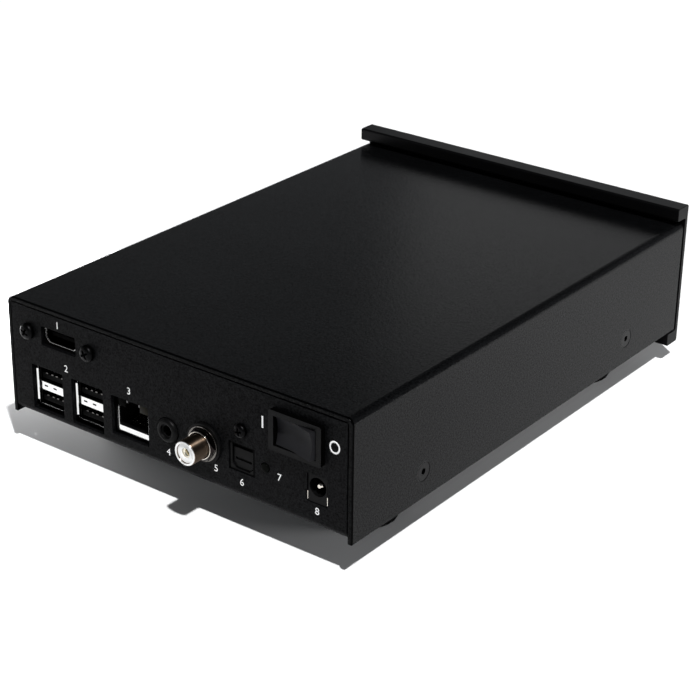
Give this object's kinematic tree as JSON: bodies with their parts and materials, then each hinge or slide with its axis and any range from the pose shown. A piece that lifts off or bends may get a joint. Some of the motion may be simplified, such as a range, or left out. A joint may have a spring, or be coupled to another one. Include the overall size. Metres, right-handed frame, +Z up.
{
  "type": "network audio player",
  "caption": "Small black metal audio streamer with a folded case, an extruded front fascia, round feet, a rear connector panel and a rocker power switch.",
  "frame": {"origin": "on the surface that the feet stand on, under the centre of the object's box", "axes": "+Z up; +Y out of the rear connector panel, so that the fascia faces -Y; +X to the right for someone who faces the fascia"},
  "size_m": [0.1422, 0.2096, 0.0606],
  "materials": {
    "cover_coat": "fine-textured satin powder coat",
    "tray_coat": "fine-textured satin powder coat",
    "fascia_finish": "black anodised, satin",
    "foot_rubber": "matte moulded",
    "black_screw": "black oxide, slightly glossy",
    "nickel": "bright nickel plating",
    "socket_plating": "bright tin plating",
    "gilt_contact": "gilt, satin",
    "black_plastic": "fine moulded",
    "switch_plastic": "moulded, half gloss",
    "white_insulator": "smooth",
    "board_laminate": "solder resist over glass laminate",
    "chip_epoxy": "moulded epoxy",
    "capacitor_sleeve": "shrunk sleeve",
    "lamp_lens": "dark diffused lens",
    "emitter_lens": "clear red resin"
  },
  "bodies": {
    "case": {"top_cover": "cover_coat", "cover_screw_left_front": "black_screw", "cover_screw_left_rear": "black_screw", "cover_screw_right_front": "black_screw", "cover_screw_right_rear": "black_screw", "chassis_tray": "tray_coat", "front_fascia": "fascia_finish", "fascia_nut_left": "nickel", "fascia_nut_right": "nickel", "foot_left_front": "foot_rubber", "foot_left_rear": "foot_rubber", "foot_right_front": "foot_rubber", "foot_right_rear": "foot_rubber", "foot_screw_left_front": "nickel", "foot_screw_left_rear": "nickel", "foot_screw_right_front": "nickel", "foot_screw_right_rear": "nickel", "main_board": "board_laminate", "main_processor": "chip_epoxy", "network_chip": "chip_epoxy", "pin_header": "black_plastic", "main_board_screw_1": "nickel", "main_board_screw_2": "nickel", "main_board_screw_3": "nickel", "main_board_screw_4": "nickel", "output_board_screw_1": "nickel", "output_board_screw_2": "nickel", "usb_socket_1_shell": "socket_plating", "usb_socket_1_insulator": "black_plastic", "usb_socket_2_shell": "socket_plating", "usb_socket_2_insulator": "black_plastic", "network_socket_shell": "socket_plating", "network_socket_housing": "black_plastic", "video_socket_shell": "socket_plating", "video_socket_insulator": "black_plastic", "video_adapter_block": "black_plastic", "video_socket_screw_left": "black_screw", "video_socket_screw_right": "black_screw", "output_board": "board_laminate", "output_chip": "chip_epoxy", "output_capacitor": "capacitor_sleeve", "trigger_jack_body": "black_plastic", "trigger_jack_contact": "nickel", "coax_body": "black_plastic", "coax_barrel": "nickel", "coax_insulator": "white_insulator", "coax_centre_contact": "gilt_contact", "coax_insulating_washer": "black_plastic", "coax_lock_washer": "nickel", "coax_nut": "nickel", "optical_socket_body": "black_plastic", "optical_emitter": "emitter_lens", "optical_socket_screw": "black_screw", "status_led": "lamp_lens", "power_inlet_body": "black_plastic", "power_inlet_pin": "nickel", "power_inlet_contact": "nickel", "switch_body": "switch_plastic"},
    "rocker": {"switch_rocker": "switch_plastic"},
    "shutter": {"optical_shutter": "black_plastic"}
  },
  "joints": [
    {"name": "power_rocker", "type": "hinge", "parent": "case", "child": "rocker", "pos_m": [-0.051, 0.0946, 0.0423], "axis": [0, 0, 1], "range_deg": [0, 20]},
    {"name": "optical_shutter_hinge", "type": "hinge", "parent": "case", "child": "shutter", "pos_m": [-0.0289, 0.09325, 0.03045], "axis": [-1, 0, 0], "range_deg": [0, 80], "stiffness_Nm_per_rad": 0.0003, "springref_deg": -34.38}
  ]
}
